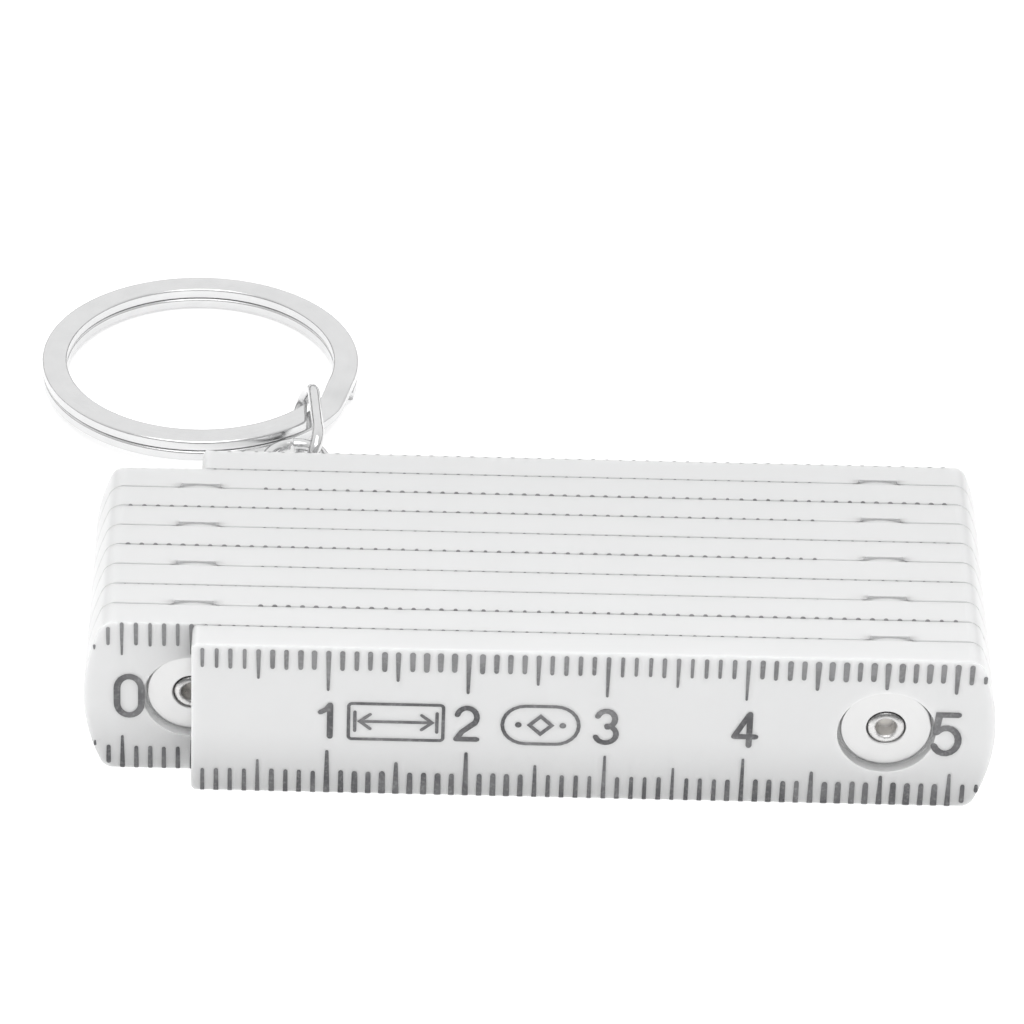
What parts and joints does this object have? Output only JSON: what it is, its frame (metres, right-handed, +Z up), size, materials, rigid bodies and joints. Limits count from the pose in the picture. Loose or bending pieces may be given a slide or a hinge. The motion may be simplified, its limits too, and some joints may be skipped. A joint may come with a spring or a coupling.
{
  "type": "folding rule",
  "caption": "Pocket folding rule of hinged plastic blades with riveted joints, shown folded, on a short chain with a split ring for keys.",
  "frame": {"origin": "middle of the bottom edge of the last blade, which carries the chain; the rule lies folded with its blades on edge", "axes": "+X along the blades towards the hinge side of the first blade, +Y through the stack from the first blade to the last and on to the chain, +Z up across the blades"},
  "size_m": [0.0715, 0.0639, 0.0132],
  "materials": {
    "white_plastic": "moulded, smooth, slightly glossy",
    "washer_steel": "stamped, satin nickel plating",
    "rivet_metal": "rolled, bright nickel over brass",
    "chain_metal": "bright nickel plating"
  },
  "bodies": {
    "blade_10": {"blade_10": "white_plastic", "rivet_09": "rivet_metal", "front_washer_09": "washer_steel", "back_washer_09": "washer_steel"},
    "blade_09": {"blade_09": "white_plastic", "rivet_08": "rivet_metal", "front_washer_08": "washer_steel", "back_washer_08": "washer_steel"},
    "blade_08": {"blade_08": "white_plastic", "rivet_07": "rivet_metal", "front_washer_07": "washer_steel", "back_washer_07": "washer_steel"},
    "blade_07": {"blade_07": "white_plastic", "rivet_06": "rivet_metal", "front_washer_06": "washer_steel", "back_washer_06": "washer_steel"},
    "blade_06": {"blade_06": "white_plastic", "rivet_05": "rivet_metal", "front_washer_05": "washer_steel", "back_washer_05": "washer_steel"},
    "blade_05": {"blade_05": "white_plastic", "rivet_04": "rivet_metal", "front_washer_04": "washer_steel", "back_washer_04": "washer_steel"},
    "blade_04": {"blade_04": "white_plastic", "rivet_03": "rivet_metal", "front_washer_03": "washer_steel", "back_washer_03": "washer_steel"},
    "blade_03": {"blade_03": "white_plastic", "rivet_02": "rivet_metal", "front_washer_02": "washer_steel", "back_washer_02": "washer_steel"},
    "blade_02": {"blade_02": "white_plastic", "rivet_01": "rivet_metal", "front_washer_01": "washer_steel", "back_washer_01": "washer_steel"},
    "blade_01": {"blade_01": "white_plastic"},
    "end_ring": {"end_ring": "chain_metal"},
    "chain_link_1": {"chain_link_1": "chain_metal"},
    "chain_link_2": {"chain_link_2": "chain_metal"},
    "chain_link_3": {"chain_link_3": "chain_metal"},
    "jump_ring": {"jump_ring": "chain_metal"},
    "ring_link": {"ring_link": "chain_metal"},
    "split_ring": {"split_ring": "chain_metal"}
  },
  "joints": [
    {"name": "fold_09", "type": "hinge", "parent": "blade_10", "child": "blade_09", "pos_m": [0.025, -0.0012, 0.0066], "axis": [0, 1, 0], "range_deg": [-180, 180]},
    {"name": "fold_08", "type": "hinge", "parent": "blade_09", "child": "blade_08", "pos_m": [-0.025, -0.0036, 0.0066], "axis": [0, 1, 0], "range_deg": [-180, 180]},
    {"name": "fold_07", "type": "hinge", "parent": "blade_08", "child": "blade_07", "pos_m": [0.025, -0.006, 0.0066], "axis": [0, 1, 0], "range_deg": [-180, 180]},
    {"name": "fold_06", "type": "hinge", "parent": "blade_07", "child": "blade_06", "pos_m": [-0.025, -0.0084, 0.0066], "axis": [0, 1, 0], "range_deg": [-180, 180]},
    {"name": "fold_05", "type": "hinge", "parent": "blade_06", "child": "blade_05", "pos_m": [0.025, -0.0108, 0.0066], "axis": [0, 1, 0], "range_deg": [-180, 180]},
    {"name": "fold_04", "type": "hinge", "parent": "blade_05", "child": "blade_04", "pos_m": [-0.025, -0.0132, 0.0066], "axis": [0, 1, 0], "range_deg": [-180, 180]},
    {"name": "fold_03", "type": "hinge", "parent": "blade_04", "child": "blade_03", "pos_m": [0.025, -0.0156, 0.0066], "axis": [0, 1, 0], "range_deg": [-180, 180]},
    {"name": "fold_02", "type": "hinge", "parent": "blade_03", "child": "blade_02", "pos_m": [-0.025, -0.018, 0.0066], "axis": [0, 1, 0], "range_deg": [-180, 180]},
    {"name": "fold_01", "type": "hinge", "parent": "blade_02", "child": "blade_01", "pos_m": [0.025, -0.0204, 0.0066], "axis": [0, 1, 0], "range_deg": [-180, 180]},
    {"name": "end_ring_swing", "type": "hinge", "parent": "blade_10", "child": "end_ring", "pos_m": [-0.0244, 0.00065, 0.0066], "axis": [0, 0, 1], "range_deg": [-20, 20]},
    {"name": "chain_link_1_swing", "type": "hinge", "parent": "end_ring", "child": "chain_link_1", "pos_m": [-0.02371, 0.00384, 0.0066], "axis": [-0.9537, 0.3007, 0], "range_deg": [-30, 30]},
    {"name": "chain_link_2_swing", "type": "hinge", "parent": "chain_link_1", "child": "chain_link_2", "pos_m": [-0.02199, 0.00724, 0.00481], "axis": [0.1646, 0.3425, 0.925], "range_deg": [-30, 30]},
    {"name": "chain_link_3_swing", "type": "hinge", "parent": "chain_link_2", "child": "chain_link_3", "pos_m": [-0.02031, 0.01075, 0.00333], "axis": [-0.902, 0.4317, 0], "range_deg": [-30, 30]},
    {"name": "jump_ring_swing", "type": "hinge", "parent": "chain_link_3", "child": "jump_ring", "pos_m": [-0.01862, 0.01427, 0.00199], "axis": [0.1423, 0.2969, 0.9442], "range_deg": [-25, 25]},
    {"name": "ring_link_swing", "type": "hinge", "parent": "jump_ring", "child": "ring_link", "pos_m": [-0.01737, 0.01752, 0.00215], "axis": [-0.8992, 0.4376, 0], "range_deg": [-20, 20]},
    {"name": "split_ring_spin", "type": "hinge", "parent": "ring_link", "child": "split_ring", "pos_m": [-0.02615, 0.02863, 0.00157], "axis": [0, 0.0541, 0.9985], "continuous": true}
  ]
}
